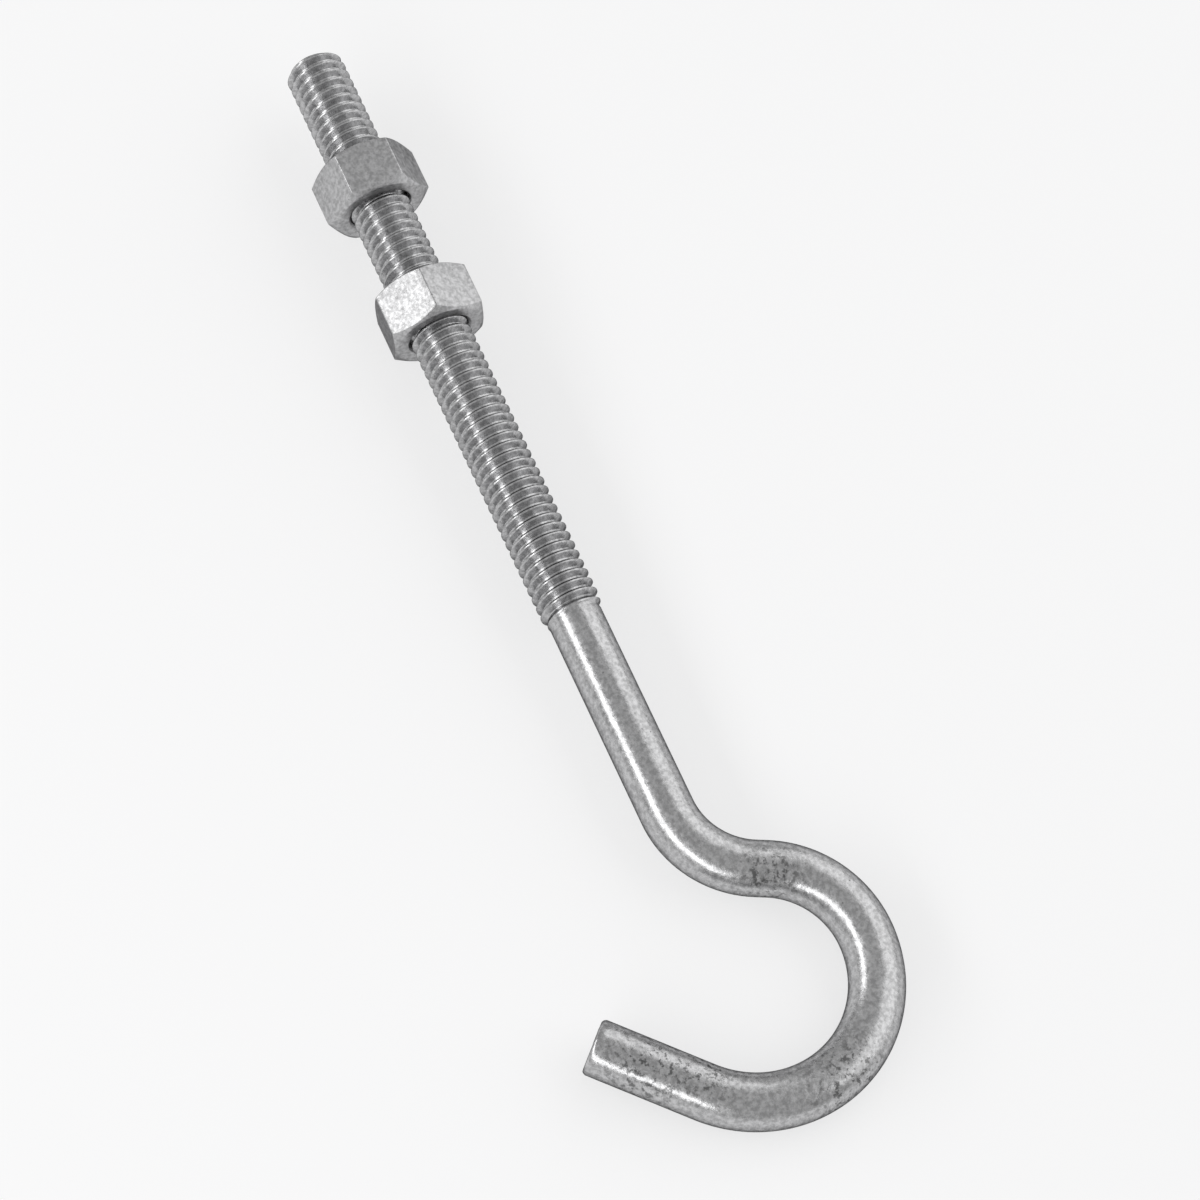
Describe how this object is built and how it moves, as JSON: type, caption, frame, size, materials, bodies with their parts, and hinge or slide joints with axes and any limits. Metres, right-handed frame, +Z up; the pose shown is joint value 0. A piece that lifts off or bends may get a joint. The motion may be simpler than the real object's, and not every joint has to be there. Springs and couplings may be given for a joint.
{
  "type": "round-hook bolt with two hex nuts",
  "caption": "Zinc-plated steel hook bolt: long threaded shank with hex nuts, offset neck, round open hook and sheared tail.",
  "frame": {"origin": "on the surface the bolt lies on, under the middle of its overall box", "axes": "+X along the shank from the threaded tip towards the hook, pitched 1.89 degrees down as the bolt rests on its inner nut and hook; +Y to the side the neck swings to; +Z up, square to the hook within that pitch"},
  "size_m": [0.1804, 0.0488, 0.0167],
  "materials": {
    "zinc_bar": "bright zinc plate, scuffed at the bends",
    "zinc_nut": "bright zinc plate"
  },
  "bodies": {
    "bolt": {"hook_bolt": "zinc_bar"},
    "outer_nut": {"outer_nut": "zinc_nut"},
    "inner_nut": {"inner_nut": "zinc_nut"}
  },
  "joints": [
    {"name": "outer_nut_travel", "type": "slide", "parent": "bolt", "child": "outer_nut", "axis": [0.9995, 0, -0.0329], "range_m": [-0.0277, 0.0072]},
    {"name": "inner_nut_travel", "type": "slide", "parent": "bolt", "child": "inner_nut", "axis": [0.9995, 0, -0.0329], "range_m": [-0.0072, 0.0476]}
  ]
}
